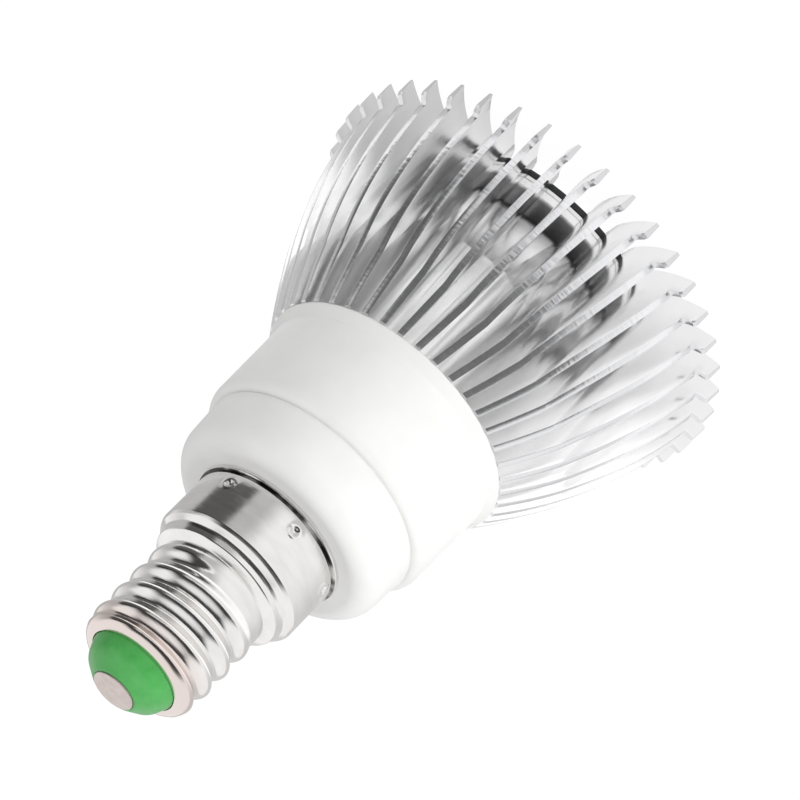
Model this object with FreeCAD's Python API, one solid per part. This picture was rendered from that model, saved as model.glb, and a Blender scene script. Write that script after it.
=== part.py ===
import FreeCAD, Part
import math
import os

# A screw-cap grow lamp with a finned aluminium body, standing on its crown of fins.
# Millimetres. Z is the lamp's axis and points from the crown of fins to the screw cap.
# The origin lies on the axis, in the plane that the fins stand on.
# Each piece of the lamp is one function, and is written to parts/ under its own name.

V = FreeCAD.Vector
AXIS = V(0, 0, 1)

# Curves in the turned outlines are drawn as chords: small corners as one, larger ones and bulges as several
least_rounding = 1.0
corner_chords = 2
bulge_chords = 3

# Lengths along the axis, from the crown to the centre contact
sink_height = 24.5
housing_height = 19.0
cap_length = 24.5
housing_base = sink_height
cap_base = housing_base + housing_height
lamp_height = cap_base + cap_length

# Heat sink: turned outer form
foot_radius = 15.2
shoulder_radius = 23.8
fin_bulge = 1.2
lip_radius = 25.1
lip_height = 2.4
lip_step = 0.45
crown_flare = 0.15

# Heat sink: fins
fin_count = 42
fin_thickness = 0.75
fin_lean = 4.0
fin_start_angle = 6.7
crown_corner = 1.3

# Heat sink: core between and behind the fins
drum_radius = 18.0
drum_depth = 5.6
drum_corner = 4.2
neck_radius = 11.8
back_slope = 30.0
plug_height = 2.0
cavity_radius = 7.0
web_thickness = 4.0

# Front: cover, its ring and the lamp's board
ring_thickness = 1.4
ring_recess = 0.8
ring_width = 2.7
ring_gap = 0.1
ring_groove = 0.2
cover_thickness = 1.4
cover_inset = 2.3
cover_gap = 0.1
ledge_width = 0.5
board_chamber = 3.0
pad_thickness = 0.2
led_board_thickness = 1.2
led_board_gap = 0.3

# Light sources on the board
led_length = 5.4
led_width = 3.0
led_height = 0.9
led_window_rim = 0.55
led_window_depth = 0.2
outer_led_circle = 11.9
outer_places = 15
inner_led_circle = 6.3
inner_places = 6

# Screws
small_screw_circle = 10.2
small_screw_radius = 1.2
small_head_radius = 1.7
small_head_height = 1.4
small_screw_length = 6.2
long_head_radius = 2.3
long_head_height = 1.8
long_screw_circle = 9.4
long_screw_angle = 30.0
long_screw_grip = 6.6
thread_clearance = 0.05
shank_clearance = 0.3
head_clearance = 0.3

# Housing
rim_radius = 14.95
rim_edge = 0.3
rim_band = 1.4
upper_radius = 14.1
step_height = 12.25
step_corner = 1.1
groove_depth = 0.15
groove_height = 0.2
lower_radius = 13.05
lower_taper = 0.4
base_corner = 2.5
mouth_gap = 0.1
wall = 1.6
nose_height = 6.0
nose_gap = 0.1
nose_wall = 1.4
boss_radius = 2.6
boss_height = 9.0
rail_width = 1.0
rail_reach = 2.9
rail_gap = 0.05

# Screw cap of the E14 size
shell_wall = 0.35
skirt_radius = 8.65
skirt_height = 7.1
skirt_flare = 0.3
flare_height = 0.4
shoulder_ring_radius = 7.75
shoulder_rise = 1.0
neck_rise = 0.9
thread_radius = 6.92
thread_root = 6.14
thread_pitch = 2.822
thread_turns = 3.5
thread_start = 2.9
thread_fade_angle = 108.0
thread_fade_steps = 7
neck_radius_at_thread = 6.6
crest_land = 0.015
tip_length = 3.2
tip_corner = 0.7
tip_hole_radius = 5.15

# Insulator and centre contact
insulator_flange = 2.4
insulator_gap = 0.05
insulator_top_radius = 2.65
insulator_bulge = 0.3
contact_radius = 2.45
contact_proud = 0.35
contact_inset = 0.25
contact_edge = 0.25
rivet_radius = 0.65

# Driver board, its parts and the leads
driver_thickness = 1.2
driver_half_width = 9.4
driver_height = 14.0
driver_neck_half_width = 6.0
driver_neck_height = 7.5
sheet_thickness = 0.5
sheet_gap = 0.2
lead_radius = 0.45
lead_spacing = 1.3
lead_start = 1.5
sleeve_wall = 0.4
sleeve_gap = 0.1
sleeve_hole_radius = 1.9
solder_size = 1.1
solder_height = 0.9


def chords(start, middle, end, count):
    """Points along the arc through three points, from its start to just before its end."""
    arc = Part.Arc(start, middle, end)
    span = arc.LastParameter - arc.FirstParameter
    return [arc.value(arc.FirstParameter + span * index / count) for index in range(count)]


def outline(corners):
    """A face in the XZ plane. A corner is (radius, height), then its rounding, then the bulge of the next side."""
    corners = [tuple(corner) + (0,) * (4 - len(corner)) for corner in corners]
    places = [V(corner[0], 0, corner[1]) for corner in corners]
    arcs = []
    for index, (_, _, rounding, _) in enumerate(corners):
        here = places[index]
        back = places[index - 1] - here
        ahead = places[(index + 1) % len(places)] - here
        if rounding == 0:
            arcs.append((here, here, here))
            continue
        half_angle = back.getAngle(ahead) / 2
        reach = min(rounding / math.tan(half_angle), 0.48 * back.Length, 0.48 * ahead.Length)
        back.normalize()
        ahead.normalize()
        inward = (back + ahead).normalize()
        fitted = reach * math.tan(half_angle)
        middle = here + inward * (fitted / math.sin(half_angle) - fitted)
        arcs.append((here + back * reach, middle, here + ahead * reach))
    points = []
    for index, (start, middle, end) in enumerate(arcs):
        if corners[index][2] >= least_rounding:
            points += chords(start, middle, end, corner_chords)
        elif corners[index][2] > 0:
            points.append(start)
        next_start = arcs[(index + 1) % len(arcs)][0]
        bulge = corners[index][3]
        if bulge:
            side = next_start - end
            outward = V(-side.z, 0, side.x).normalize()
            points += chords(end, (end + next_start) * 0.5 + outward * bulge, next_start, bulge_chords)
        else:
            points.append(end)
    return Part.Face(Part.makePolygon(points + points[:1]))


def turned(corners):
    """A solid turned about the lamp's axis from an outline of (radius, height) corners."""
    return outline(corners).revolve(V(0, 0, 0), AXIS, 360)


def disc(radius, low, high, x=0.0, y=0.0):
    return Part.makeCylinder(radius, high - low, V(x, y, low))


def block(x_range, y_range, z_range):
    size = (x_range[1] - x_range[0], y_range[1] - y_range[0], z_range[1] - z_range[0])
    return Part.makeBox(*size, V(x_range[0], y_range[0], z_range[0]))


def turned_copy(shape, angle):
    copy = shape.copy()
    copy.rotate(V(0, 0, 0), AXIS, angle)
    return copy


def around(angle, radius):
    return radius * math.cos(math.radians(angle)), radius * math.sin(math.radians(angle))


def tube(points, radius):
    """A straight round lead between two points."""
    run = points[1] - points[0]
    return Part.makeCylinder(radius, run.Length, points[0], run)


# Heights of the front pieces, from the crown inwards
ring_front = ring_recess
cover_front = ring_front + ring_thickness
cover_back = cover_front + cover_thickness
sink_floor = cover_back + board_chamber
web_back = sink_floor + web_thickness
board_back = sink_floor - pad_thickness
board_front = board_back - led_board_thickness
cover_radius = drum_radius - cover_inset
ledge_radius = cover_radius + cover_gap - ledge_width
plug_top = sink_height + plug_height
led_board_radius = ledge_radius - led_board_gap
screw_places = range(0, outer_places, outer_places // 3)
screw_angles = [360 / outer_places * place for place in screw_places]
long_screw_angles = [long_screw_angle, long_screw_angle + 180]
head_seat = sink_floor + long_head_height + head_clearance
driver_base = plug_top + sheet_thickness
lead_y = -driver_thickness / 2 - lead_radius - sleeve_gap


# Heat sink

def heat_sink():
    outside = [
        (lip_radius + crown_flare, 0),
        (lip_radius, lip_height - lip_step),
        (shoulder_radius + 0.1, lip_height),
        (shoulder_radius, lip_height + lip_step, 0, -fin_bulge),
        (foot_radius, sink_height),
    ]
    inside = [
        (neck_radius - 1, sink_height),
        (neck_radius - 1, sink_floor + 1),
        (drum_radius - 1, drum_depth - 1),
        (drum_radius - 1, cover_front),
        (drum_radius + ring_gap, cover_front),
        (drum_radius + ring_gap, crown_corner),
        (drum_radius + ring_gap + crown_corner, 0),
    ]
    fin = fin_slab(outside + inside)
    fins = [turned_copy(fin, fin_start_angle + 360 / fin_count * index) for index in range(fin_count)]
    back_height = drum_depth + (drum_radius - neck_radius) * math.tan(math.radians(back_slope))
    core = turned([
        (0, cover_front),
        (drum_radius, cover_front),
        (drum_radius, drum_depth, drum_corner),
        (neck_radius, back_height),
        (neck_radius, plug_top),
        (0, plug_top),
    ])
    body = core.multiFuse(fins)
    return body.cut(front_recess()).cut(disc(cavity_radius, web_back, plug_top)).cut(sink_holes())


def fin_slab(corners):
    """One fin, flat and of one thickness. Its middle plane passes the axis at the distance of its lean."""
    face = outline(corners)
    leaned = []
    for vertex in face.OuterWire.OrderedVertexes:
        along = math.sqrt(vertex.X ** 2 - fin_lean ** 2)
        leaned.append(V(along, fin_lean - fin_thickness / 2, vertex.Z))
    return Part.Face(Part.makePolygon(leaned + leaned[:1])).extrude(V(0, fin_thickness, 0))


def front_recess():
    """What the lathe takes out of the crown: the cover's ledge and the board's chamber."""
    return turned([
        (0, cover_front),
        (cover_radius + cover_gap, cover_front),
        (cover_radius + cover_gap, cover_back),
        (ledge_radius, cover_back),
        (ledge_radius, sink_floor),
        (0, sink_floor),
    ])


def sink_holes():
    """Lead hole, tapped holes for the board's screws, and stepped holes for the long screws."""
    lead_hole = disc(sleeve_hole_radius, sink_floor, web_back, 0, lead_y)
    tapped = [disc(small_screw_radius + thread_clearance, sink_floor, sink_floor + small_screw_length,
                   *around(angle, small_screw_circle)) for angle in screw_angles]
    shank_radius = small_screw_radius + shank_clearance
    shanks = [disc(shank_radius, sink_floor, plug_top, *around(angle, long_screw_circle))
              for angle in long_screw_angles]
    sinks = [disc(long_head_radius + head_clearance, sink_floor, head_seat, *around(angle, long_screw_circle))
             for angle in long_screw_angles]
    return Part.makeCompound([lead_hole] + tapped).multiFuse(shanks + sinks)


# Front pieces

def cover_ring():
    outer = drum_radius - ring_gap / 2
    return turned([
        (outer - ring_width, ring_front),
        (outer, ring_front),
        (outer, ring_front + 0.5 * ring_thickness - ring_groove / 2),
        (outer - ring_groove, ring_front + 0.5 * ring_thickness),
        (outer, ring_front + 0.5 * ring_thickness + ring_groove / 2),
        (outer, cover_front),
        (outer - ring_width, cover_front),
    ])


def clear_cover():
    return disc(cover_radius, cover_front, cover_back)


def led_board():
    board = disc(led_board_radius, board_front, board_back)
    holes = [disc(small_screw_radius + shank_clearance, board_front, board_back,
                  *around(angle, small_screw_circle)) for angle in screw_angles]
    return board.cut(Part.makeCompound(holes)).cut(disc(sleeve_hole_radius, board_front, board_back, 0, lead_y))


def thermal_pad():
    pad = disc(led_board_radius, board_back, sink_floor)
    holes = [disc(small_screw_radius + shank_clearance, board_back, sink_floor,
                  *around(angle, small_screw_circle)) for angle in screw_angles]
    return pad.cut(Part.makeCompound(holes)).cut(disc(sleeve_hole_radius, board_back, sink_floor, 0, lead_y))


def led_places():
    """Circle and angle of each light source, with True for the red ones."""
    places = []
    for place in range(outer_places):
        if place not in screw_places:
            places.append((outer_led_circle, 360 / outer_places * place, place % 5 != 3))
    for place in range(inner_places):
        places.append((inner_led_circle, 360 / inner_places * (place + 0.5), place % 2 == 0))
    return places


def leds(red):
    half = led_length / 2
    side = led_width / 2
    body = block((-half, half), (-side, side), (board_front - led_height, board_front))
    window = block((led_window_rim - half, half - led_window_rim), (led_window_rim - side, side - led_window_rim),
                   (board_front - led_height, board_front - led_height + led_window_depth))
    led = body.cut(window)
    copies = []
    for circle, angle, is_red in led_places():
        if is_red == red:
            copy = led.copy()
            copy.translate(V(circle, 0, 0))
            copies.append(turned_copy(copy, angle))
    return Part.makeCompound(copies)


def screw(head_radius, head_height, shank_radius, length):
    """A plain screw with its head's seat at height 0 and its shank pointing up."""
    return turned([
        (0, -head_height),
        (head_radius, -head_height),
        (head_radius, 0),
        (shank_radius, 0),
        (shank_radius, length),
        (0, length),
    ])


def screws_at(one, circle, angles, height):
    copies = []
    for angle in angles:
        copy = one.copy()
        copy.translate(V(*around(angle, circle), height))
        copies.append(copy)
    return Part.makeCompound(copies)


def board_screws():
    length = led_board_thickness + pad_thickness + small_screw_length - head_clearance
    one = screw(small_head_radius, small_head_height, small_screw_radius, length)
    return screws_at(one, small_screw_circle, screw_angles, board_front)


def housing_screws():
    length = plug_top + long_screw_grip - head_seat
    one = screw(long_head_radius, long_head_height, small_screw_radius, length)
    return screws_at(one, long_screw_circle, long_screw_angles, head_seat)


# Housing

def housing():
    base = housing_base
    step = base + step_height
    mouth = neck_radius + mouth_gap
    nose_radius = skirt_radius - shell_wall - nose_gap
    throat = nose_radius - nose_wall
    inside = lower_radius - lower_taper - wall
    shell = turned([
        (mouth, base),
        (rim_radius, base),
        (rim_radius, base + rim_edge),
        (upper_radius, base + rim_band),
        (upper_radius, step, step_corner),
        (lower_radius - groove_depth, step),
        (lower_radius - groove_depth, step + groove_height),
        (lower_radius, step + groove_height),
        (lower_radius - lower_taper, cap_base, base_corner),
        (nose_radius, cap_base),
        (nose_radius, cap_base + nose_height),
        (throat, cap_base + nose_height),
        (throat, cap_base - wall),
        (inside, cap_base - wall),
        (inside, step - step_corner),
        (mouth, step - step_corner),
    ])
    pieces = []
    for angle in long_screw_angles:
        x, y = around(angle, long_screw_circle)
        pieces.append(disc(boss_radius, plug_top, plug_top + boss_height, x, y))
    inner = driver_thickness / 2 + rail_gap
    rail_top = driver_base + driver_height - 2
    for x_sign in (-1, 1):
        for y_sign in (-1, 1):
            near, far = sorted((x_sign * (mouth - rail_reach), x_sign * (mouth + 0.5)))
            low, high = sorted((y_sign * inner, y_sign * (inner + rail_width)))
            pieces.append(block((near, far), (low, high), (driver_base + 1, rail_top)))
    shell = shell.multiFuse(pieces)
    pilots = [disc(small_screw_radius + thread_clearance, plug_top, plug_top + long_screw_grip + 0.5,
                   *around(angle, long_screw_circle)) for angle in long_screw_angles]
    return shell.cut(Part.makeCompound(pilots))


# Screw cap

def groove_section(lift=0.0):
    """The valley between two crests of the knuckle thread, open to the outside, at the helix's start."""
    root = thread_root + lift
    crest = thread_radius + lift
    open_side = crest + 0.5
    half = 0.49 * thread_pitch
    corners = [(open_side, -half), (crest, -half), (crest - 0.15, -0.6 * half), (root, -0.2 * half),
               (root, 0.2 * half), (crest - 0.15, 0.6 * half), (crest, half), (open_side, half)]
    return Part.makePolygon([V(x, 0, z) for x, z in corners + corners[:1]])


def thread_groove(start_height):
    """The rolled valley: a helix up to the cap's tip, and a run-out at its start that fades to the neck."""
    helix = Part.makeHelix(thread_pitch, thread_pitch * thread_turns, thread_root)
    groove = Part.Wire(helix).makePipeShell([groove_section()], True, True)
    sections = []
    for step in range(thread_fade_steps):
        share = step / (thread_fade_steps - 1)
        angle = -thread_fade_angle * share
        section = groove_section((thread_radius - thread_root + 0.1) * share * share)
        section.rotate(V(0, 0, 0), AXIS, angle)
        section.translate(V(0, 0, thread_pitch * angle / 360))
        sections.append(section)
    fade = Part.makeLoft(sections, True, False)
    for piece in (groove, fade):
        piece.translate(V(0, 0, start_height))
    return groove, fade


def cap_shell():
    crest = thread_radius - crest_land
    tip = lamp_height - tip_length
    ring = cap_base + skirt_height
    neck_height = ring + shoulder_rise + neck_rise
    bore = thread_root - shell_wall
    skirt_bore = skirt_radius - shell_wall
    shell = turned([
        (skirt_bore, cap_base),
        (skirt_radius + skirt_flare, cap_base),
        (skirt_radius + skirt_flare, cap_base + flare_height * 0.6),
        (skirt_radius, cap_base + flare_height * 1.6),
        (skirt_radius, ring - 0.3),
        (shoulder_ring_radius, ring + shoulder_rise),
        (shoulder_ring_radius, neck_height - 0.3),
        (neck_radius_at_thread, neck_height),
        (neck_radius_at_thread, neck_height + 0.6),
        (crest, neck_height + 1.8),
        (crest, tip, tip_corner),
        (tip_hole_radius, tip),
        (tip_hole_radius, tip - shell_wall),
        (bore, tip - shell_wall),
        (bore, neck_height - shell_wall),
        (skirt_bore, ring - 0.5),
    ])
    groove, fade = thread_groove(neck_height + thread_start)
    return shell.cut(fade).cut(groove)


def cap_insulator():
    seat = lamp_height - tip_length - shell_wall
    flange = thread_root - shell_wall - insulator_gap
    top = lamp_height - contact_proud
    middle_radius = (tip_hole_radius + insulator_top_radius) / 2
    return turned([
        (rivet_radius + insulator_gap, seat - insulator_flange),
        (flange, seat - insulator_flange),
        (flange, seat),
        (tip_hole_radius - insulator_gap, seat),
        (tip_hole_radius - insulator_gap, seat + shell_wall),
        (middle_radius + insulator_bulge, (seat + shell_wall + top) / 2 + insulator_bulge),
        (insulator_top_radius, top),
        (contact_radius + insulator_gap, top),
        (contact_radius + insulator_gap, top - contact_inset),
        (rivet_radius + insulator_gap, top - contact_inset),
    ])


def centre_contact():
    low = lamp_height - contact_proud - contact_inset
    stem_end = lamp_height - tip_length - shell_wall - insulator_flange
    return turned([
        (0, stem_end),
        (rivet_radius, stem_end),
        (rivet_radius, low),
        (contact_radius, low),
        (contact_radius, lamp_height, contact_edge),
        (0, lamp_height),
    ])


# Driver

def insulating_sheet():
    sheet = disc(neck_radius - sheet_gap, plug_top, driver_base)
    holes = [disc(boss_radius + sheet_gap, plug_top, driver_base, *around(angle, long_screw_circle))
             for angle in long_screw_angles]
    return sheet.cut(Part.makeCompound(holes)).cut(disc(sleeve_hole_radius, plug_top, driver_base, 0, lead_y))


def driver_board():
    half = driver_thickness / 2
    shoulder = driver_base + driver_height
    wide = block((-driver_half_width, driver_half_width), (-half, half), (driver_base, shoulder))
    narrow = block((-driver_neck_half_width, driver_neck_half_width), (-half, half),
                   (shoulder, shoulder + driver_neck_height))
    return wide.fuse(narrow).removeSplitter()


def film_capacitor():
    front = driver_thickness / 2
    body = block((-6.8, 1.2), (front, front + 4.4), (driver_base + 2.5, driver_base + 9.5))
    return body.makeChamfer(0.5, [edge for edge in body.Edges if abs(edge.tangentAt(0).y) > 0.9])


def output_capacitor():
    radius = 3.0
    y = -driver_thickness / 2 - radius
    can = disc(radius, driver_base + 2, driver_base + 10.5, 3.4, y)
    return can.makeChamfer(0.4, [edge for edge in can.Edges if edge.Closed])


def rectifier():
    front = driver_thickness / 2
    return block((2.2, 5.8), (front, front + 2.4), (driver_base + 3.5, driver_base + 8.2))


def driver_chip():
    back = -driver_thickness / 2
    return block((-2.4, 2.4), (back - 1.5, back), (driver_base + 11, driver_base + 13.8))


def choke():
    """A drum choke: flanges at both ends of its winding."""
    radius = 2.5
    low = driver_base + 2.5
    body = turned([(0, 0), (radius, 0), (radius, 0.8), (radius - 0.3, 0.8), (radius - 0.3, 5.2),
                   (radius, 5.2), (radius, 6), (0, 6)])
    body.translate(V(-2.7, -driver_thickness / 2 - radius, low))
    return body


def fuse_resistor():
    """A barrel with an end cap at each end."""
    radius = 1.5
    low = driver_base + driver_height + 0.8
    body = turned([(0, 0), (radius, 0), (radius, 1.4), (radius * 0.85, 1.6), (radius * 0.85, 4.4),
                   (radius, 4.6), (radius, 6), (0, 6)])
    body.translate(V(0, driver_thickness / 2 + radius, low))
    return body


def chip_resistors():
    back = -driver_thickness / 2
    low = driver_base + driver_height + 1
    chips = [block((x - 0.8, x + 0.8), (back - 0.55, back), (low, low + 3.2)) for x in (-3.5, 0, 3.5)]
    return Part.makeCompound(chips)


# Leads

def live_lead():
    start = V(0, 0, driver_base + driver_height + driver_neck_height)
    end = V(0, 0, lamp_height - tip_length - shell_wall - insulator_flange)
    return tube([start, end], lead_radius)


def neutral_place():
    return thread_root - shell_wall - lead_radius - insulator_gap


def neutral_lead():
    x = neutral_place()
    start = V(x, 0, driver_base + driver_height + driver_neck_height)
    return tube([start, start + V(0, 0, 6.5)], lead_radius)


def led_lead(side):
    """From the driver board through the sleeve in the web, to just in front of the board of light sources."""
    x = side * lead_spacing / 2
    return tube([V(x, lead_y, driver_base + lead_start), V(x, lead_y, board_front - solder_height)], lead_radius)


def lead_sleeve():
    outer = disc(sleeve_hole_radius - sleeve_gap, sink_floor, web_back, 0, lead_y)
    return outer.cut(disc(sleeve_hole_radius - sleeve_gap - sleeve_wall, sink_floor, web_back, 0, lead_y))


def solder_joints():
    """Joints from the ends of the two leads to the board, and from the third lead to the shell."""
    half = solder_size / 2
    near = lead_spacing / 2 + lead_radius
    far = sleeve_hole_radius + solder_size
    joints = []
    for side in (-1, 1):
        low, high = sorted((side * near, side * far))
        joints.append(block((low, high), (lead_y - half, lead_y + half), (board_front - solder_height, board_front)))
    top = neutral_lead().BoundBox.ZMax
    reach = math.sqrt((thread_root - shell_wall) ** 2 - half ** 2)
    joints.append(block((reach - solder_size, reach), (-half, half), (top, top + solder_height)))
    return Part.makeCompound(joints)


pieces = {
    "heat_sink": heat_sink,
    "cover_ring": cover_ring,
    "clear_cover": clear_cover,
    "led_board": led_board,
    "thermal_pad": thermal_pad,
    "red_leds": lambda: leds(True),
    "blue_leds": lambda: leds(False),
    "board_screws": board_screws,
    "housing_screws": housing_screws,
    "housing": housing,
    "cap_shell": cap_shell,
    "cap_insulator": cap_insulator,
    "centre_contact": centre_contact,
    "insulating_sheet": insulating_sheet,
    "driver_board": driver_board,
    "film_capacitor": film_capacitor,
    "output_capacitor": output_capacitor,
    "rectifier": rectifier,
    "driver_chip": driver_chip,
    "choke": choke,
    "fuse_resistor": fuse_resistor,
    "chip_resistors": chip_resistors,
    "live_lead": live_lead,
    "neutral_lead": neutral_lead,
    "led_lead_positive": lambda: led_lead(1),
    "led_lead_negative": lambda: led_lead(-1),
    "lead_sleeve": lead_sleeve,
    "solder_joints": solder_joints,
}

os.makedirs("parts", exist_ok=True)
for name, make in pieces.items():
    shape = make()
    shape.exportStep(f"parts/{name}.step")
    print(f"{name}: {len(shape.Solids)} solid(s), {shape.Volume:.1f} mm3")
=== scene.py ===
# %% [markdown]
# # A screw-cap grow lamp with a swirl of polished fins
#
# The lamp stands on its crown of fins with the screw cap on top. Its outside is nearly all turned work:
# a screw shell, a moulded plastic housing and a heat sink. So most pieces here are outlines that are spun
# round one axis, and the fins are one slab that is copied round it.
#
# Everything is in metres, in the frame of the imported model. Sizes are written in millimetres.

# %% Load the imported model
import bpy
import bmesh
import math
from mathutils import Matrix, Vector


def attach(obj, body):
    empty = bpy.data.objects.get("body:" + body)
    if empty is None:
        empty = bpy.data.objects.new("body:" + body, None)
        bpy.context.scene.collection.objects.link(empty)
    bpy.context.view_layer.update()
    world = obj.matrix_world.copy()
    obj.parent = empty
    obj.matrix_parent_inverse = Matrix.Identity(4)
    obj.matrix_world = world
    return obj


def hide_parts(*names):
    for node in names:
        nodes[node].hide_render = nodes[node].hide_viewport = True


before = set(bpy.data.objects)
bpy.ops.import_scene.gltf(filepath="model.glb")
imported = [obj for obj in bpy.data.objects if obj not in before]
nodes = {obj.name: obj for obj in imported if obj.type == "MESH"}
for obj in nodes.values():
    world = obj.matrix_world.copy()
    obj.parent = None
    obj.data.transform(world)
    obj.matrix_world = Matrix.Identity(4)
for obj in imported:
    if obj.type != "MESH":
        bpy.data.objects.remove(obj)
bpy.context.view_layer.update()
MM = 0.001
bpy.context.scene.view_settings.view_transform = "Standard"
print("nodes in the packed model:", len(nodes))


# %% [markdown]
# ## Colours and shader nodes
# Colours are picked as they look on a screen, so they are written as sRGB hex values. The renderer counts
# in linear light, and one function does the change. A second helper adds a node, fills in its sockets and
# wires it, which keeps each material short enough to read.

# %% Colour and node helpers
def paint(hex_value):
    """A linear colour, with alpha, from an sRGB hex value such as #E4E4E6."""
    parts = [int(hex_value[i:i + 2], 16) / 255 for i in (1, 3, 5)]
    linear = [c / 12.92 if c <= 0.04045 else ((c + 0.055) / 1.055) ** 2.4 for c in parts]
    return (*linear, 1.0)


def add(tree, kind, settings=None, **sockets):
    """Adds a node. A socket's value is a number, a colour, or another node's output to link from."""
    node = tree.nodes.new(kind)
    for name, value in (settings or {}).items():
        setattr(node, name, value)
    for name, value in sockets.items():
        key = int(name[1:]) if name[0] == "i" and name[1:].isdigit() else name.replace("_", " ")
        if isinstance(value, bpy.types.NodeSocket):
            tree.links.new(value, node.inputs[key])
        else:
            node.inputs[key].default_value = value
    return node


SMOOTH = {"interpolation_type": "SMOOTHSTEP"}
LESSER = {"operation": "MINIMUM"}
GREATER = {"operation": "MAXIMUM"}
PRODUCT = {"operation": "MULTIPLY"}
COLOURS = {"data_type": "RGBA"}


def new_material(name, **sockets):
    """A material with one Principled shader. Returns it, its tree, the shader and Object coordinates."""
    material = bpy.data.materials.new(name)
    material.use_nodes = True
    tree = material.node_tree
    shader = tree.nodes["Principled BSDF"]
    for key, value in sockets.items():
        shader.inputs[key].default_value = value
    place = add(tree, "ShaderNodeTexCoord").outputs["Object"]
    return material, tree, shader, place


def vary(tree, shader, place, dark, light, size_mm, stretch=(1, 1, 1)):
    """Blotches of two close colours, size_mm across, as the base colour."""
    spot = add(tree, "ShaderNodeMapping", Vector=place, Scale=stretch).outputs["Vector"]
    noise = add(tree, "ShaderNodeTexNoise", Vector=spot, Scale=1 / (size_mm * MM), Detail=3.0)
    ramp = add(tree, "ShaderNodeValToRGB", Fac=noise.outputs["Fac"])
    ramp.color_ramp.elements[0].position = 0.3
    ramp.color_ramp.elements[1].position = 0.7
    ramp.color_ramp.elements[0].color = paint(dark)
    ramp.color_ramp.elements[1].color = paint(light)
    tree.links.new(ramp.outputs["Color"], shader.inputs["Base Color"])
    return ramp


def roughen(tree, shader, place, low, high, size_mm, stretch=(1, 1, 1)):
    """Roughness that wanders between two values over size_mm."""
    spot = add(tree, "ShaderNodeMapping", Vector=place, Scale=stretch).outputs["Vector"]
    noise = add(tree, "ShaderNodeTexNoise", Vector=spot, Scale=1 / (size_mm * MM), Detail=4.0)
    spread = add(tree, "ShaderNodeMapRange", Value=noise.outputs["Fac"], From_Min=0.3, From_Max=0.7,
                 To_Min=low, To_Max=high)
    tree.links.new(spread.outputs["Result"], shader.inputs["Roughness"])


def grain(tree, shader, place, size_mm, height_mm, stretch=(1, 1, 1), detail=2.0):
    """Bumps size_mm apart and height_mm high, on top of any bumps that the shader has already."""
    spot = add(tree, "ShaderNodeMapping", Vector=place, Scale=stretch).outputs["Vector"]
    noise = add(tree, "ShaderNodeTexNoise", Vector=spot, Scale=1 / (size_mm * MM), Detail=detail)
    bump = add(tree, "ShaderNodeBump", Strength=1.0, Distance=height_mm * MM, Height=noise.outputs["Fac"])
    before = shader.inputs["Normal"]
    if before.is_linked:
        tree.links.new(before.links[0].from_socket, bump.inputs["Normal"])
    tree.links.new(bump.outputs["Normal"], shader.inputs["Normal"])


print("helpers ready")


# %% [markdown]
# ## The camera
# The photo looks at the lamp from in front of and above its shoulder with a long lens, so the shapes hardly
# taper. The lamp lies diagonally in the picture, cap at the lower left. Here the lamp stands upright, so
# the camera is rolled instead: its own right and up directions are given as two rows of the turn.

# %% Camera
camera_data = bpy.data.cameras.new("photo_camera")
camera = bpy.data.objects.new("photo_camera", camera_data)
bpy.context.scene.collection.objects.link(camera)
camera_data.sensor_width = 36.0
camera_data.lens = 180.0
camera_data.clip_start = 0.01
standpoint = Vector((0.0, -0.36065, 0.22662))
tilt, roll = math.radians(60.4), math.radians(-135.4)
look = Vector((0, math.sin(tilt), -math.cos(tilt)))
level = Vector((1, 0, 0))
rise = level.cross(look)
turn = Matrix((level, rise, -look)).transposed() @ Matrix.Rotation(roll, 3, "Z")
camera.matrix_world = Matrix.Translation(standpoint) @ turn.to_4x4()
bpy.context.scene.camera = camera
print("camera looks along", [round(v, 3) for v in look])


# %% [markdown]
# ## Turned shapes
# A lathe cuts an outline into a bar that spins, and here the outline itself is spun. Each corner is a
# radius and a height, and may be rounded. The corner's rounding is a bevel of one vertex of the outline,
# so it stays a true arc. The spin then sweeps the outline once round the axis and merges its two ends.

# %% Outline, lathe and finish
def draw_outline(bm, corners, closed=True):
    """Vertices and edges in the XZ plane through corners, in mm.

    A corner is (radius, height), or (radius, height, rounding, steps) where it is rounded.
    """
    verts = [bm.verts.new((c[0] * MM, 0, c[1] * MM)) for c in corners]
    pairs = list(zip(verts, verts[1:] + verts[:1])) if closed else list(zip(verts, verts[1:]))
    for one, other in pairs:
        bm.edges.new((one, other))
    for corner, vert in zip(corners, verts):
        if len(corner) == 4:
            rounding, steps = corner[2:]
            sides = [(edge.other_vert(vert).co - vert.co).normalized() for edge in vert.link_edges]
            half = sides[0].angle(sides[1]) / 2
            reach = rounding * MM / math.tan(half)
            bmesh.ops.bevel(bm, geom=[vert], offset=reach, offset_type="OFFSET", segments=steps,
                            profile=0.5, affect="VERTICES", material=-1)


def spin_round(bm, steps=160):
    """Sweeps everything in bm once round the lamp's axis."""
    bmesh.ops.spin(bm, geom=bm.verts[:] + bm.edges[:], cent=(0, 0, 0), axis=(0, 0, 1),
                   angle=math.tau, steps=steps, use_merge=True)
    bmesh.ops.remove_doubles(bm, verts=bm.verts, dist=1e-6)
    bmesh.ops.recalc_face_normals(bm, faces=bm.faces)


def finish_mesh(bm, name, *materials, crease=32):
    """Makes an object at the origin from bm, smooth but for edges sharper than crease degrees."""
    mesh = bpy.data.meshes.new(name)
    bm.to_mesh(mesh)
    bm.free()
    mesh.shade_smooth()
    mesh.set_sharp_from_angle(angle=math.radians(crease))
    for material in materials:
        mesh.materials.append(material)
    piece = bpy.data.objects.new(name, mesh)
    bpy.context.scene.collection.objects.link(piece)
    print(f"{name}: {len(mesh.polygons)} faces")
    return piece


def stands_for(piece, node):
    """The piece rides on the lamp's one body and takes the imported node's place."""
    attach(piece, "root")
    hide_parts(node)


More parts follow.
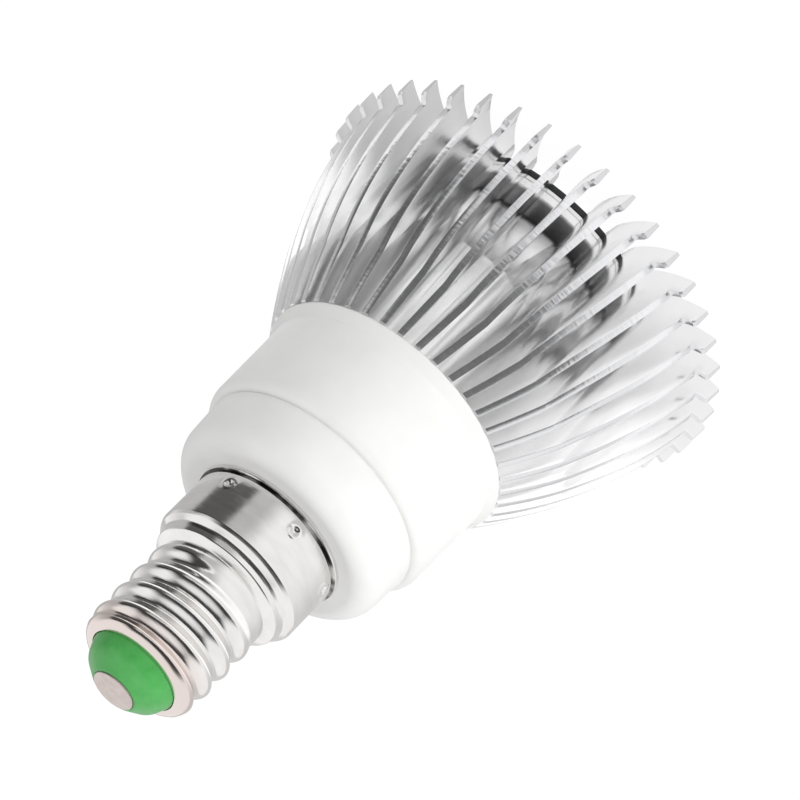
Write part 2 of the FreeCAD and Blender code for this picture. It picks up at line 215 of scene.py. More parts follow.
def lathe(name, corners, material, node, steps=160):
    """A piece spun from one closed outline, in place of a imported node."""
    bm = bmesh.new()
    draw_outline(bm, corners)
    spin_round(bm, steps)
    stands_for(finish_mesh(bm, name, material), node)


# %% [markdown]
# ## Aluminium of the heat sink
# The blank is cold-forged aluminium, turned on the outside and then bright dipped, so the flanks of the
# fins are close to mirrors. The fins' outer edges keep the turning tool's marks: fine rings round the axis,
# seen as small dashes across each edge. A metal's colour sits in its reflection, and its roughness is low.
# The cone of the drum between the fins has a band of darker grey in its colour: painted shade, where the
# gaps between the fins are dark.

# %% Polished aluminium
fin_metal, tree, shader, place = new_material("bright_dipped_aluminium", Metallic=1.0, Roughness=0.10)
shader.inputs["Base Color"].default_value = paint("#FDFDFD")
roughen(tree, shader, place, 0.16, 0.26, 2.5, stretch=(1, 1, 0.25))
grain(tree, shader, place, 0.9, 0.001, stretch=(1, 1, 0.15), detail=3.0)

# %% Turned edges of the fins
edge_metal, tree, shader, place = new_material("turned_aluminium_edge", Metallic=0.9, Roughness=0.22)
shader.inputs["Base Color"].default_value = paint("#E6E6E8")
TOOL_MARK_MM = 0.35     # the real marks are finer; this is as fine as shows at this distance
grain(tree, shader, place, TOOL_MARK_MM, 0.03, stretch=(0.12, 0.12, 1.0), detail=4.0)

# %% Drum between the fins
drum_metal, tree, shader, place = new_material("forged_aluminium_drum", Metallic=1.0, Roughness=0.22)
height = add(tree, "ShaderNodeSeparateXYZ", Vector=place).outputs["Z"]
# Painted shade: the base colour goes from #FDFDFD to grey #808080 over heights 2.9 to 7.2 mm, on the cone
# between the fins.
shade_band_start = add(tree, "ShaderNodeMapRange", SMOOTH, Value=height, From_Min=2.9 * MM, From_Max=3.5 * MM)
shade_band_end = add(tree, "ShaderNodeMapRange", SMOOTH, Value=height, From_Min=5.2 * MM, From_Max=7.2 * MM,
               To_Min=1.0, To_Max=0.0)
painted_shade_band = add(tree, "ShaderNodeMath", LESSER, i0=shade_band_start.outputs["Result"], i1=shade_band_end.outputs["Result"])
colour = add(tree, "ShaderNodeMix", COLOURS, Factor=painted_shade_band.outputs["Value"], i6=paint("#FDFDFD"),
             i7=paint("#808080"))
tree.links.new(colour.outputs[2], shader.inputs["Base Color"])
print("aluminium ready")


# %% [markdown]
# ## Heat sink: one fin
# A fin is a flat slab whose middle plane passes 4 mm beside the axis, and that lean gives the swirl. The
# outline below is one fin's side view: bulged outer edge, stepped lip, flat front end, and an inner edge
# buried in the drum. The slab's outer edge follows the turned form, so each side of it is moved to the
# radius that the outline asks for at its own distance from the axis. Near the crown the fin gets thinner,
# and outside the drum it bows sideways by half a millimetre.

# %% Sizes of the heat sink, in mm
SINK_HEIGHT = 24.5
FINS = 42
FIN_THICKNESS = 0.75
FIN_LEAN = 4.0
FIN_BOW = 0.48          # sideways, halfway between the drum and the lip
TIP_TAPER = 2.4         # the fins get thinner over this length at the crown
TIP_THICKNESS = 0.42
FIRST_FIN_DEG = 6.7
FOOT_RADIUS = 15.2
SHOULDER_RADIUS = 23.8
LIP_RADIUS = 25.1
DRUM_RADIUS = 18.0
BURIED_RADIUS = 13.0    # a fin's edges nearer the axis than this are inside the drum
TAPER_RADIUS = 19.0     # and the fin is thinned only outside this
SMALL_BEVEL = 0.05
FLANK, EDGE, DRUM = 0, 1, 2     # the order of the heat sink's three materials


def bulged(start, end, bulge, steps):
    """Points from start to just before end on a shallow arc that stands out by bulge in the middle."""
    along = Vector(end) - Vector(start)
    out = Vector((along.y, -along.x)).normalized()
    if out.x < 0:
        out = -out
    points = []
    for step in range(steps):
        share = step / steps
        points.append(tuple(Vector(start) + along * share + out * bulge * 4 * share * (1 - share)))
    return points


# %% One fin
side_view = [(LIP_RADIUS + 0.12, 0.0), (LIP_RADIUS + 0.1, 0.6), (LIP_RADIUS, 1.95)]
side_view += [(LIP_RADIUS - 0.25, 2.2)]
side_view += [(SHOULDER_RADIUS + 0.12, 2.35), (SHOULDER_RADIUS - 0.05, 2.5), (SHOULDER_RADIUS - 0.05, 2.65)]
side_view += bulged((SHOULDER_RADIUS, 2.8), (FOOT_RADIUS, SINK_HEIGHT), 1.2, 18)
side_view += [(FOOT_RADIUS, SINK_HEIGHT), (10.0, SINK_HEIGHT), (10.0, 8.4), (14.4, 7.1)]
side_view += [(15.15, 6.75), (16.2, 5.6), (17.0, 4.2), (17.0, 2.2)]
side_view += [(DRUM_RADIUS + 0.05, 2.2), (DRUM_RADIUS + 0.05, 1.5), (DRUM_RADIUS + 0.2, 0.85),
              (DRUM_RADIUS + 0.65, 0.25), (DRUM_RADIUS + 1.35, 0.0)]
bm = bmesh.new()
verts = [bm.verts.new((r * MM, (FIN_LEAN - FIN_THICKNESS / 2) * MM, z * MM)) for r, z in side_view]
side = bm.faces.new(verts)
grown = bmesh.ops.extrude_face_region(bm, geom=[side], use_keep_orig=True)
far_side = [item for item in grown["geom"] if isinstance(item, bmesh.types.BMVert)]
bmesh.ops.translate(bm, verts=far_side, vec=(0, FIN_THICKNESS * MM, 0))
for vert in bm.verts:
    vert.co.x = math.sqrt(vert.co.x ** 2 - vert.co.y ** 2)
    if vert.co.x > TAPER_RADIUS * MM and vert.co.z < TIP_TAPER * MM:
        share = vert.co.z / (TIP_TAPER * MM)
        thin = TIP_THICKNESS / FIN_THICKNESS * (1 - share) + share
        vert.co.y = FIN_LEAN * MM + (vert.co.y - FIN_LEAN * MM) * thin
bmesh.ops.recalc_face_normals(bm, faces=bm.faces)
rim = [e for e in bm.edges if len(e.link_faces) == 2 and e.calc_face_angle() > math.radians(60)
       and min(v.co.x for v in e.verts) > BURIED_RADIUS * MM]
bmesh.ops.bevel(bm, geom=rim, offset=SMALL_BEVEL * MM, offset_type="OFFSET", segments=2, profile=0.5,
                affect="EDGES", material=-1, clamp_overlap=True)
for face in bm.faces:
    face.material_index = FLANK if abs(face.normal.y) > 0.7 else EDGE
for radius in range(round(DRUM_RADIUS), round(LIP_RADIUS)):     # cuts across the slab, so that it can bow
    bmesh.ops.bisect_plane(bm, geom=bm.verts[:] + bm.edges[:] + bm.faces[:], dist=1e-7,
                           plane_co=(radius * MM, 0, 0), plane_no=(1, 0, 0))
for vert in bm.verts:
    across = (vert.co.x / MM - DRUM_RADIUS) / (LIP_RADIUS - DRUM_RADIUS)
    if 0 < across < 1.05:
        vert.co.y += FIN_BOW * MM * 4 * across * (1 - across)
first_turn = Matrix.Rotation(math.radians(FIRST_FIN_DEG), 3, "Z")
bmesh.ops.rotate(bm, verts=bm.verts, cent=(0, 0, 0), matrix=first_turn)
print("one fin:", len(bm.faces), "faces")

# %% [markdown]
# The fin is then copied round the axis. The drum that carries the fins is spun from its own outline: a
# straight drum, a cone and a neck outside, the cover's ledge and the board's chamber inside.

# %% All the fins and the drum
bmesh.ops.spin(bm, geom=bm.verts[:] + bm.edges[:] + bm.faces[:], cent=(0, 0, 0), axis=(0, 0, 1),
               angle=math.tau * (FINS - 1) / FINS, steps=FINS - 1, use_duplicate=True)
fins_mesh = bpy.data.meshes.new("fins")
bm.to_mesh(fins_mesh)
bm.free()
bm = bmesh.new()
chamber = [(0, 6.6), (15.05, 6.6), (15.05, 3.6), (15.8, 3.6), (15.8, 2.2)]
drum = [(DRUM_RADIUS, 2.2, 0.05, 1), (DRUM_RADIUS, 3.1, 0.1, 2), (16.9, 5.7, 1.5, 8), (11.8, 8.9)]
plug = [(11.8, 26.5, 0.3, 2), (7.0, 26.5), (7.0, 10.6), (0, 10.6)]
draw_outline(bm, chamber + drum + plug, closed=False)
spin_round(bm, 168)
for face in bm.faces:
    face.material_index = DRUM
bm.from_mesh(fins_mesh)
heat_sink = finish_mesh(bm, "finned_heat_sink", fin_metal, edge_metal, drum_metal)
stands_for(heat_sink, "heat_sink")

# %% [markdown]
# Between the fins, at the front of the drum, shows the ring that holds the clear cover: a bright turned
# ring. A black ring in its groove is painted shade: it stands for the groove's dark band.

# %% Ring of the cover, and a black ring of painted shade in its groove
ring_metal, tree, shader, place = new_material("turned_ring_aluminium", Metallic=1.0, Roughness=0.12)
shader.inputs["Base Color"].default_value = paint("#F2F2F2")
grain(tree, shader, place, 0.3, 0.01, stretch=(0.15, 0.15, 1.0), detail=3.0)
lathe("turned_ring", [
    (15.25, 0.8), (17.6, 0.8, 0.05, 2), (17.95, 0.84, 0.02, 1), (17.95, 0.88, 0.01, 1), (17.7, 0.9),
    (17.7, 1.62), (17.95, 1.65, 0.03, 1), (17.95, 2.08, 0.04, 2), (17.8, 2.2), (15.25, 2.2),
], ring_metal, "cover_ring")

# Painted shade: a black ring fills the groove of the turned ring and stands for the groove's dark shade.
groove_shade_black, tree, shader, place = new_material("black_groove_shade", Roughness=0.45, IOR=1.52)
vary(tree, shader, place, "#1C1C1D", "#2A2A2B", 1.0)
grain(tree, shader, place, 0.15, 0.004)
bm = bmesh.new()
draw_outline(bm, [(17.72, 0.91), (17.96, 0.93, 0.06, 3), (17.96, 1.59, 0.06, 3), (17.72, 1.61)])
spin_round(bm)
groove_shade_piece = finish_mesh(bm, "groove_shade_ring", groove_shade_black)
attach(groove_shade_piece, "root")


# %% [markdown]
# ## White plastic of the housing
# The housing is moulded white plastic with a faint satin texture. It scatters light a little below its
# skin, which softens the grey of its shaded side.

# %% White moulded plastic
white_plastic, tree, shader, place = new_material("white_moulded_plastic", Roughness=0.42, IOR=1.49)
vary(tree, shader, place, "#EBEBEA", "#EFEFEE", 4.0)
grain(tree, shader, place, 0.25, 0.004, detail=2.0)
shader.inputs["Subsurface Weight"].default_value = 0.08
shader.inputs["Subsurface Radius"].default_value = (0.0012, 0.0011, 0.0010)
print("plastic ready")

# %% [markdown]
# The housing's outline goes from the flared rim on the heat sink up the wide stage, over the step with
# its thin groove, up the narrow stage and round its large corner to the nose inside the cap's skirt.

# %% Housing
HOUSING_BASE = 24.5
STEP = 36.75
CAP_BASE = 43.5
lathe("stepped_housing", [
    (11.95, HOUSING_BASE, 0.15, 2), (14.95, HOUSING_BASE, 0.12, 3), (14.95, HOUSING_BASE + 0.3, 0.15, 3),
    (14.15, HOUSING_BASE + 1.4, 0.5, 6), (13.95, STEP, 1.15, 10), (12.88, STEP, 0.04, 2),
    (12.88, STEP + 0.18, 0.03, 2), (13.06, STEP + 0.22, 0.06, 2), (12.66, CAP_BASE, 2.5, 14),
    (8.2, CAP_BASE, 0.1, 2), (8.2, CAP_BASE + 6.0, 0.3, 2), (6.8, CAP_BASE + 6.0),
    (6.8, CAP_BASE - 1.6, 0.4, 3), (10.9, CAP_BASE - 1.6, 1.0, 4), (11.0, STEP, 0.5, 3),
    (11.95, STEP - 2.2, 0.4, 3),
], white_plastic, "housing", steps=192)


# %% [markdown]
# ## Nickel plate
# The screw shell is thin brass or steel sheet with a bright nickel plate. Rolling its thread and drawing
# its skirt leave fine streaks round it. Nickel is a little warmer than aluminium. The groove beside the
# rolled rim is painted dark in patches: painted shade, where the groove is in shade.

# %% Nickel plate
nickel, tree, shader, place = new_material("bright_nickel_plate", Metallic=1.0, Roughness=0.16)
ramp = vary(tree, shader, place, "#E9E7E5", "#F3F1EF", 3.0, stretch=(1, 1, 3))
height = add(tree, "ShaderNodeSeparateXYZ", Vector=place).outputs["Z"]
near_tip = add(tree, "ShaderNodeMapRange", SMOOTH, Value=height, From_Min=61.2 * MM, From_Max=63.5 * MM)
tinted = add(tree, "ShaderNodeMix", COLOURS, Factor=near_tip.outputs["Result"], i6=ramp.outputs["Color"],
             i7=paint("#E6DAD5"))
# Painted shade: the groove between the rolled rim and the skirt, at 43.9 to 44.3 mm height, goes dark
# #34312F in patches.
past_rim = add(tree, "ShaderNodeMapRange", SMOOTH, Value=height, From_Min=43.86 * MM, From_Max=43.94 * MM)
before_skirt = add(tree, "ShaderNodeMapRange", SMOOTH, Value=height, From_Min=44.20 * MM,
                   From_Max=44.32 * MM, To_Min=1.0, To_Max=0.0)
groove = add(tree, "ShaderNodeMath", LESSER, i0=past_rim.outputs["Result"],
             i1=before_skirt.outputs["Result"])
patchy = add(tree, "ShaderNodeTexNoise", Vector=place, Scale=1 / (2.857 * MM), Detail=2.0)
patchy_groove_shade = add(tree, "ShaderNodeMapRange", SMOOTH, Value=patchy.outputs["Fac"], From_Min=0.35, From_Max=0.60,
              To_Min=0.25, To_Max=1.0)
dark = add(tree, "ShaderNodeMath", PRODUCT, i0=groove.outputs["Value"], i1=patchy_groove_shade.outputs["Result"])
groove_shaded_colour = add(tree, "ShaderNodeMix", COLOURS, Factor=dark.outputs["Value"], i6=tinted.outputs[2],
            i7=paint("#34312F"))
tree.links.new(groove_shaded_colour.outputs[2], shader.inputs["Base Color"])
roughen(tree, shader, place, 0.10, 0.22, 1.2, stretch=(0.5, 0.5, 3))
grain(tree, shader, place, 0.22, 0.008, stretch=(0.2, 0.2, 1.0), detail=4.0)

contact_nickel, tree, shader, place = new_material("worn_nickel_contact", Metallic=0.9, Roughness=0.42)
vary(tree, shader, place, "#C9BDB8", "#D8CDC8", 0.8)
grain(tree, shader, place, 0.3, 0.02, detail=4.0)
print("nickel ready")


# %% [markdown]
# ## Screw shell
# The shell starts as a plain turned tube with closely spaced rings. The thread is then rolled in: every
# point moves in or out by how far it is from the nearest crest of the helix. The thread starts as a
# crest that grows out of the neck over the first part of a turn, and dies away under the rounded tip.

# %% Thread sizes, in mm
PITCH = 2.822
CREST = 6.92
ROOT = 6.14
NECK = 6.6
FIRST_CREST = 54.0      # height of the lowest crest at angle 0
TAIL_DEG = -108.0       # where that crest grows out of the neck
GROW_DEG = 80.0
TIP = 64.8
THREAD_BASE = 52.6
THREAD_TOP = TIP - 0.8
TOP_FADE = 0.9          # the thread flattens over this length under THREAD_TOP


def thread_radius(angle_deg, height):
    """Radius of the shell's outside at a place on the threaded length."""
    turns = (angle_deg - TAIL_DEG) % 360 / 360
    tail_height = FIRST_CREST + PITCH * TAIL_DEG / 360
    first = tail_height + PITCH * turns
    above = (height - first) / PITCH
    grown = min(1.0, turns * 360 / GROW_DEG)
    grown = grown * grown * (3 - 2 * grown)
    wave = 0.5 + 0.5 * math.cos(math.tau * above)
    if above < -0.5:
        return NECK
    if above < 0:
        return NECK + (CREST - NECK) * wave * grown
    if above < 1:
        floor = NECK + (ROOT - NECK) * grown
        top = CREST if above > 0.5 else NECK + (CREST - NECK) * grown
        return floor + (top - floor) * wave
    return ROOT + (CREST - ROOT) * wave


# %% [markdown]
# The skirt is fixed to the housing with a row of punch marks. Each is a small pit with a raised lip, made
# by moving the skirt's finely spaced points in and out.

# %% Punch marks
SKIRT = 8.66
MARK_DEGREES = (-43.8, -101.6, -154.8, 146.0, 88.0, 24.0)
MARK_HEIGHT = 45.6
PIT_DEPTH = 0.28
LIP_RISE = 0.16


def punch_mark(angle_deg, height):
    """How far the skirt's outside moves outwards at a place near a punch mark."""
    nearest = min(abs((angle_deg - mark + 180) % 360 - 180) for mark in MARK_DEGREES)
    away = math.hypot(math.radians(nearest) * SKIRT, height - MARK_HEIGHT)
    return LIP_RISE * math.exp(-((away - 0.62) / 0.22) ** 2) - PIT_DEPTH * math.exp(-(away / 0.36) ** 2)


# %% Shell
WALL = 0.35
RINGS = 150             # closely spaced rings that the thread is rolled into
MARK_BAND = (44.4, 46.85)
side_view = [(8.32, 43.5), (8.95, 43.5, 0.18, 5), (8.95, 43.92, 0.18, 5)]
side_view += [(8.50, 44.02, 0.04, 2), (8.50, 44.14, 0.04, 2), (SKIRT, 44.3, 0.1, 2)]
side_view += [(SKIRT, 44.5 + 0.15 * index) for index in range(16)]
side_view += [(SKIRT, 50.15, 0.25, 3), (8.42, 50.5, 0.25, 3), (7.9, 51.0, 0.3, 3), (7.75, 51.4, 0.15, 2)]
side_view += [(7.7, 52.0, 0.3, 4), (NECK, THREAD_BASE)]
bm = bmesh.new()
draw_outline(bm, side_view, closed=False)
threaded = [(NECK, THREAD_BASE + (THREAD_TOP - THREAD_BASE) * ring / RINGS) for ring in range(1, RINGS + 1)]
rolled_tip = [(6.42, 64.35), (6.15, 64.6), (5.8, 64.75), (5.45, 64.8), (5.22, 64.78), (5.15, 64.65)]
last = max(bm.verts, key=lambda vert: vert.co.z)
for radius, height in threaded + rolled_tip + [(5.15, TIP - WALL)]:
    following = bm.verts.new((radius * MM, 0, height * MM))
    bm.edges.new((last, following))
    last = following
spin_round(bm, 240)
for vert in bm.verts:
    height = vert.co.z / MM
    angle = math.degrees(math.atan2(vert.co.y, vert.co.x))
    if THREAD_BASE + 0.01 < height < THREAD_TOP + 0.01:
        fade = min(1.0, max(0.0, (THREAD_TOP - height) / TOP_FADE))
        radius = NECK + (thread_radius(angle, height) - NECK) * fade
        vert.co.xy = vert.co.xy.normalized() * radius * MM
    elif MARK_BAND[0] < height < MARK_BAND[1] and vert.co.xy.length > 8.6 * MM:
        vert.co.xy = vert.co.xy.normalized() * (SKIRT + punch_mark(angle, height)) * MM
screw_shell = finish_mesh(bm, "screw_shell", nickel, crease=50)
stands_for(screw_shell, "cap_shell")


# %% [markdown]
# ## Insulator and centre contact
# A green insulator fills the shell's end, and a nickel-plated disc is riveted through it.

# %% Green insulator
green, tree, shader, place = new_material("green_insulator", Roughness=0.32, IOR=1.52)
vary(tree, shader, place, "#43A24B", "#50AD57", 1.5)
grain(tree, shader, place, 0.4, 0.012, detail=3.0)
lathe("green_insulator", [
    (0.7, 62.05), (5.74, 62.05, 0.1, 2), (5.74, 64.45), (5.1, 64.45), (5.1, 64.8, 0.2, 3),
    (4.45, 66.4, 1.6, 6), (2.75, 67.7, 0.3, 3), (2.5, 67.7), (2.5, 67.4), (0.7, 67.4),
], green, "cap_insulator")

# %% Centre contact
lathe("contact_disc", [
    (0, 62.05), (0.65, 62.05), (0.65, 67.4), (2.45, 67.4, 0.1, 3), (2.45, 67.9, 0.12, 4),
    (1.5, 67.99, 0.8, 3), (0, 68.0),
], contact_nickel, "centre_contact", steps=96)


# %% [markdown]
# ## Finishes of the pieces behind the cover and inside the housing
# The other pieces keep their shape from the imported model. Most are hidden, and still get what they have in
# a real lamp: two close colours in blotches, a roughness and a fine grain of the right size.

# %% Clear cover
clear_plastic, tree, shader, place = new_material("clear_polycarbonate", Roughness=0.03, IOR=1.58)
shader.inputs["Transmission Weight"].default_value = 1.0
shader.inputs["Base Color"].default_value = paint("#F4F8F8")
grain(tree, shader, place, 0.6, 0.001)


# %% Finishes from a table
def coat(node_name, material):
    """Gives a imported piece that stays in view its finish."""
    slots = nodes[node_name].data.materials
    slots.clear()
    slots.append(material)


coat("clear_cover", clear_plastic)
FINISHES = {
    # finish: dark colour, light colour, roughness, metallic, blotch mm, grain mm, grain height mm, pieces
    "white_solder_mask": ("#E4E4DE", "#EDEDE8", 0.35, 0, 3.0, 0.3, 0.006, ["led_board"]),
    "grey_silicone_pad": ("#8A9092", "#979C9E", 0.75, 0, 1.5, 0.2, 0.01, ["thermal_pad"]),
    "zinc_plated_steel": ("#B9BABC", "#CFD0D1", 0.28, 1, 0.8, 0.15, 0.006,
                          ["board_screws", "housing_screws"]),
    "milky_polyester_film": ("#DEDED0", "#E6E6DA", 0.30, 0, 4.0, 0.5, 0.004, ["insulating_sheet"]),
    "green_glass_epoxy": ("#1C5A38", "#236A43", 0.35, 0, 1.2, 0.25, 0.01, ["driver_board"]),
    "red_dipped_epoxy": ("#8A2318", "#9C2C1E", 0.25, 0, 2.0, 0.6, 0.02, ["film_capacitor"]),
    "shrunk_vinyl_sleeve": ("#1B2136", "#242B42", 0.30, 0, 2.0, 0.4, 0.006, ["output_capacitor"]),
    "black_moulded_epoxy": ("#161617", "#202021", 0.55, 0, 1.0, 0.12, 0.008,
                            ["rectifier", "driver_chip", "chip_resistors"]),
    "black_shrunk_tube": ("#141616", "#1D1F1F", 0.45, 0, 1.5, 0.3, 0.01, ["choke"]),
    "blue_green_enamel": ("#4B7C80", "#5A8A8D", 0.25, 0, 1.0, 0.3, 0.01, ["fuse_resistor"]),
    "red_wire_vinyl": ("#960F0F", "#A81818", 0.40, 0, 1.0, 0.2, 0.004, ["led_lead_positive", "live_lead"]),
    "black_wire_vinyl": ("#121212", "#1C1C1C", 0.40, 0, 1.0, 0.2, 0.004,
                         ["led_lead_negative", "neutral_lead"]),
    "clear_sleeve_vinyl": ("#CBCBC0", "#D6D6CC", 0.30, 0, 1.0, 0.3, 0.004, ["lead_sleeve"]),
    "bright_solder": ("#AEAFB1", "#C6C7C8", 0.22, 1, 0.5, 0.3, 0.02, ["solder_joints"]),
}
for finish, (dark, light, rough, metallic, blotch, grain_mm, depth, pieces) in FINISHES.items():
    material, tree, shader, place = new_material(finish, Roughness=rough, Metallic=metallic)
    vary(tree, shader, place, dark, light, blotch)
    grain(tree, shader, place, grain_mm, depth)
    for piece in pieces:
        coat(piece, material)
print("finishes from the table:", len(FINISHES))

# %% [markdown]
# A light source is a pale moulded case with a coloured window in its top. The window's floor faces down and
# lies a little deeper than the case's rim, and those two facts pick it out for the window's colour.

# %% Light sources
WINDOW_DEPTH = 4.4 * MM     # height of a plane between the case's rim and the window
for node_name, case, window, window_thin in (("red_leds", "#EFE9E2", "#D8331F", "#E0503C"),
                                             ("blue_leds", "#E9ECEF", "#2A4FD6", "#4668E0")):
    material, tree, shader, place = new_material(node_name + "_moulding", Roughness=0.35, IOR=1.5)
    spot = add(tree, "ShaderNodeTexNoise", Vector=place, Scale=1 / (0.5 * MM)).outputs["Fac"]
    facing = add(tree, "ShaderNodeSeparateXYZ", Vector=add(tree, "ShaderNodeNewGeometry").outputs["Normal"])
    down = add(tree, "ShaderNodeMath", {"operation": "LESS_THAN"}, i0=facing.outputs["Z"], i1=-0.9)
    height = add(tree, "ShaderNodeSeparateXYZ", Vector=place).outputs["Z"]
    deep = add(tree, "ShaderNodeMath", {"operation": "GREATER_THAN"}, i0=height, i1=WINDOW_DEPTH)
    inside = add(tree, "ShaderNodeMath", PRODUCT, i0=down.outputs["Value"], i1=deep.outputs["Value"])
    shade = add(tree, "ShaderNodeMix", COLOURS, Factor=spot, i6=paint(window), i7=paint(window_thin))
    colour = add(tree, "ShaderNodeMix", COLOURS, Factor=inside.outputs["Value"], i6=paint(case),
                 i7=shade.outputs[2])
    tree.links.new(colour.outputs[2], shader.inputs["Base Color"])
    grain(tree, shader, place, 0.2, 0.004)
    coat(node_name, material)
print("light sources ready")


# %% [markdown]
# ## Floor, backdrop and light
# The photo is a catalogue picture on a seamless white ground. A big pale sheet lies under the lamp and
# reaches behind it. To the camera most of the sheet's colour is its own even white, and the rest is lit, so
# the lamp keeps a soft shadow. The world is as white, for what lies beyond the sheet.
#
# Polished metal shows only what is round it, so an even white room would make it look like paper. A studio
# has a window side and a dim side. Mirrors see that here: the paper is a little grey at the foot of the
# fins, more so on the dim side, and brighter than white in a ring round the foot. Farther off, the window
# side is white, the other side is grey with a black card in it, and there is a dim patch in front, under a
# white ceiling. Only mirrors see these differences.

# %% What mirrors see
FOOT_PAPER = 0.92       # brightness, in a mirror, of the paper at the foot of the fins
SHADED_PAPER = 0.62     # of that paper on the dim side
RING_PAPER = 1.25       # of the paper round the foot, 4 to 6 cm from the lamp's axis
BACK_PAPER = 0.66       # of the paper far behind the lamp
DIM_SIDE = 0.50         # of the room on the dim side
DARK_CARD = 0.03        # of a black card that stands on the dim side
BEHIND_CAMERA = 0.05    # of the photographer's place
CARD_DIRECTION = (0.966, -0.259, 0.0)


def sides_of_studio(tree, direction, dim_from, dim_to):
    """Brightness in a direction: it dims between two values of X, and has a black card at +X.

    Returns the brightness and the parts of the direction.
    """
    unit = add(tree, "ShaderNodeVectorMath", {"operation": "NORMALIZE"}, i0=direction).outputs["Vector"]
    parts = add(tree, "ShaderNodeSeparateXYZ", Vector=unit).outputs
    side = add(tree, "ShaderNodeMapRange", SMOOTH, Value=parts["X"], From_Min=dim_from, From_Max=dim_to,
               To_Min=1.0, To_Max=DIM_SIDE)
    toward = add(tree, "ShaderNodeVectorMath", {"operation": "DOT_PRODUCT"}, i0=unit, i1=CARD_DIRECTION)
    card = add(tree, "ShaderNodeMapRange", SMOOTH, Value=toward.outputs["Value"], From_Min=0.80,
               From_Max=0.93, To_Min=1.0, To_Max=DARK_CARD)
    room = add(tree, "ShaderNodeMath", LESSER, i0=side.outputs["Result"], i1=card.outputs["Result"])
    return room.outputs["Value"], parts


def paper_in_mirrors(tree, spot):
    """Brightness of the sheet at a spot, in metres from the lamp's axis."""
    room, parts = sides_of_studio(tree, spot, -0.05, 0.45)
    away = add(tree, "ShaderNodeVectorMath", {"operation": "LENGTH"}, i0=spot).outputs["Value"]
    beside = add(tree, "ShaderNodeSeparateXYZ", Vector=spot).outputs["X"]
    foot = add(tree, "ShaderNodeMapRange", SMOOTH, Value=beside, From_Min=0.004, From_Max=0.018,
               To_Min=FOOT_PAPER, To_Max=SHADED_PAPER)
    near = add(tree, "ShaderNodeMapRange", SMOOTH, Value=away, From_Min=0.029, From_Max=0.040,
               To_Min=foot.outputs["Result"], To_Max=RING_PAPER)
    back = add(tree, "ShaderNodeMapRange", SMOOTH, Value=parts["Y"], From_Min=-0.4, From_Max=0.8,
               To_Min=1.0, To_Max=BACK_PAPER)
    room = add(tree, "ShaderNodeMath", LESSER, i0=room, i1=back.outputs["Result"])
    far = add(tree, "ShaderNodeMapRange", SMOOTH, Value=away, From_Min=0.062, From_Max=0.080)
    level = add(tree, "ShaderNodeMix", {"data_type": "FLOAT"}, Factor=far.outputs["Result"],
                i2=near.outputs["Result"], i3=room.outputs["Value"])
    return level.outputs["Result"]


def room_in_mirrors(tree, direction):
    """Brightness of the room beyond the sheet: bright overhead, dim in front above the table's edge."""
    room, parts = sides_of_studio(tree, direction, 0.5, 0.95)
    overhead = add(tree, "ShaderNodeMapRange", SMOOTH, Value=parts["Z"], From_Min=0.2, From_Max=0.5)
    room = add(tree, "ShaderNodeMath", GREATER, i0=room, i1=overhead.outputs["Result"])
    in_front = add(tree, "ShaderNodeMapRange", SMOOTH, Value=parts["Y"], From_Min=-0.5, From_Max=-0.1,
                   To_Min=1.0, To_Max=0.0)
    above_table = add(tree, "ShaderNodeMapRange", SMOOTH, Value=parts["Z"], From_Min=0.09, From_Max=0.16)
    below_ceiling = add(tree, "ShaderNodeMapRange", SMOOTH, Value=parts["Z"], From_Min=0.60, From_Max=0.85,
                        To_Min=1.0, To_Max=0.0)
    unlit = in_front
    for limit in (above_table, below_ceiling):
        unlit = add(tree, "ShaderNodeMath", LESSER, i0=unlit.outputs[0], i1=limit.outputs["Result"])
    behind = add(tree, "ShaderNodeMapRange", Value=unlit.outputs["Value"], To_Min=1.0, To_Max=BEHIND_CAMERA)
    level = add(tree, "ShaderNodeMath", LESSER, i0=room.outputs["Value"], i1=behind.outputs["Result"])
    return level.outputs["Value"]


def sees_ground(tree, ray):
    """1 for the rays that see the ground's own brightness: from the camera, mirrors and clear pieces."""
    total = ray["Is Camera Ray"]
    for kind in ("Is Glossy Ray", "Is Transmission Ray"):
        total = add(tree, "ShaderNodeMath", GREATER, i0=total, i1=ray[kind]).outputs["Value"]
    return total


# %% The white ground
OWN_WHITE = 0.9         # share of the sheet's colour that is its own even white
WHITE_LEVEL = 1.06      # brightness of that white to the camera
ground = bpy.data.materials.new("paper_backdrop")
ground.use_nodes = True
tree = ground.node_tree
paper = tree.nodes["Principled BSDF"]
paper.inputs["Base Color"].default_value = paint("#FAFAFA")
paper.inputs["Roughness"].default_value = 0.9
ray = add(tree, "ShaderNodeLightPath").outputs
spot = add(tree, "ShaderNodeTexCoord").outputs["Object"]
level = add(tree, "ShaderNodeMix", {"data_type": "FLOAT"}, Factor=ray["Is Glossy Ray"], i2=WHITE_LEVEL,
            i3=paper_in_mirrors(tree, spot))
glow = add(tree, "ShaderNodeEmission", Color=paint("#FFFFFF"), Strength=level.outputs["Result"])
share = add(tree, "ShaderNodeMath", PRODUCT, i0=sees_ground(tree, ray), i1=OWN_WHITE)
mixed = add(tree, "ShaderNodeMixShader", Fac=share.outputs["Value"], i1=paper.outputs["BSDF"],
            i2=glow.outputs["Emission"])
tree.links.new(mixed.outputs["Shader"], tree.nodes["Material Output"].inputs["Surface"])

bm = bmesh.new()
bmesh.ops.create_grid(bm, x_segments=1, y_segments=1, size=2.5)
floor = finish_mesh(bm, "floor_sheet", ground)

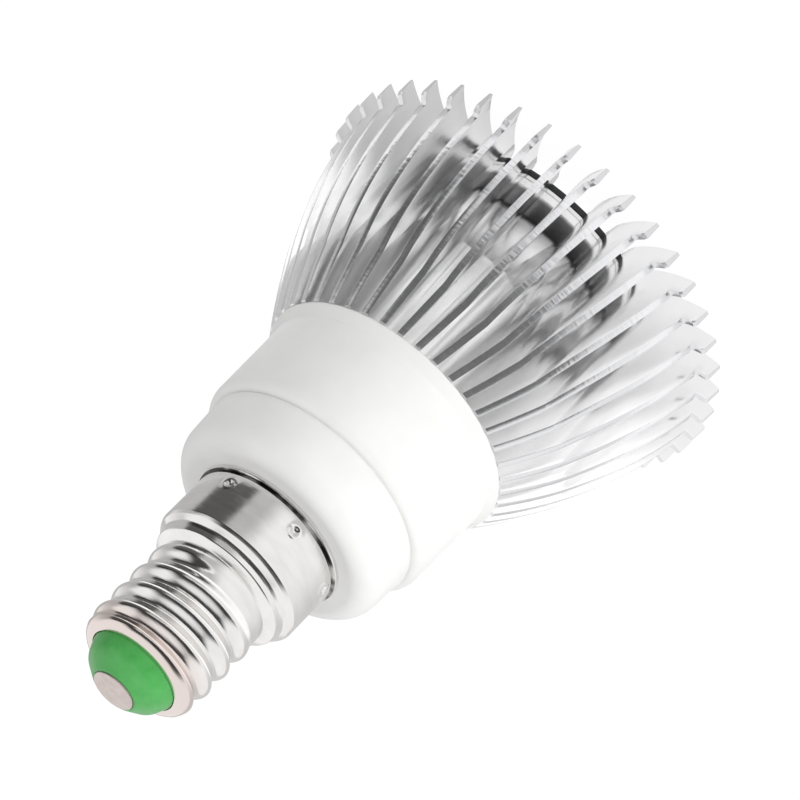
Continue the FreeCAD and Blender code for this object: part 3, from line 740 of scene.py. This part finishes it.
# %% The room
ROOM_FILL = 0.68        # light that the room gives to surfaces that aren't mirrors
world = bpy.data.worlds.new("studio")
bpy.context.scene.world = world
world.use_nodes = True
tree = world.node_tree
tree.nodes.clear()
ray = add(tree, "ShaderNodeLightPath").outputs
direction = add(tree, "ShaderNodeTexCoord").outputs["Generated"]
level = add(tree, "ShaderNodeMix", {"data_type": "FLOAT"}, Factor=ray["Is Glossy Ray"], i2=1.0,
            i3=room_in_mirrors(tree, direction))
fill = add(tree, "ShaderNodeBackground", Color=paint("#FFFFFF"), Strength=ROOM_FILL)
plain = add(tree, "ShaderNodeBackground", Color=paint("#FFFFFF"), Strength=level.outputs["Result"])
mixed = add(tree, "ShaderNodeMixShader", Fac=sees_ground(tree, ray), i1=fill.outputs["Background"],
            i2=plain.outputs["Background"])
out = add(tree, "ShaderNodeOutputWorld")
tree.links.new(mixed.outputs["Shader"], out.inputs["Surface"])
print("ground and world ready")


# %% [markdown]
# A soft box on the window side of the camera is the main light, so the housing's side is white and its
# end, which faces the cap, falls to grey. Mirrors don't show the soft boxes. Light goes to and fro in the
# deep gaps between the fins, and is lost there unless the renderer follows it for many bounces.

# %% Lamps
def soft_box(name, place, aim, size, power):
    """A rectangle of light at a place, turned to its aim. Sizes are in metres and power in watts."""
    lamp = bpy.data.lights.new(name, "AREA")
    lamp.shape = "RECTANGLE"
    lamp.size, lamp.size_y = size
    lamp.energy = power
    box = bpy.data.objects.new(name, lamp)
    bpy.context.scene.collection.objects.link(box)
    facing = (Vector(aim) - Vector(place)).to_track_quat("-Z", "Y")
    box.matrix_world = Matrix.Translation(place) @ facing.to_matrix().to_4x4()
    box.visible_glossy = False


soft_box("main_soft_box", (-0.55, -0.50, 0.10), (0, 0, 0.03), (0.6, 0.25), 3.0)
soft_box("top_soft_box", (-0.10, -0.35, 0.60), (0, 0, 0.03), (0.6, 0.4), 0.6)
cycles = bpy.context.scene.cycles
cycles.glossy_bounces = 16
cycles.max_bounces = 20
print("lamps ready; glossy bounces", cycles.glossy_bounces)
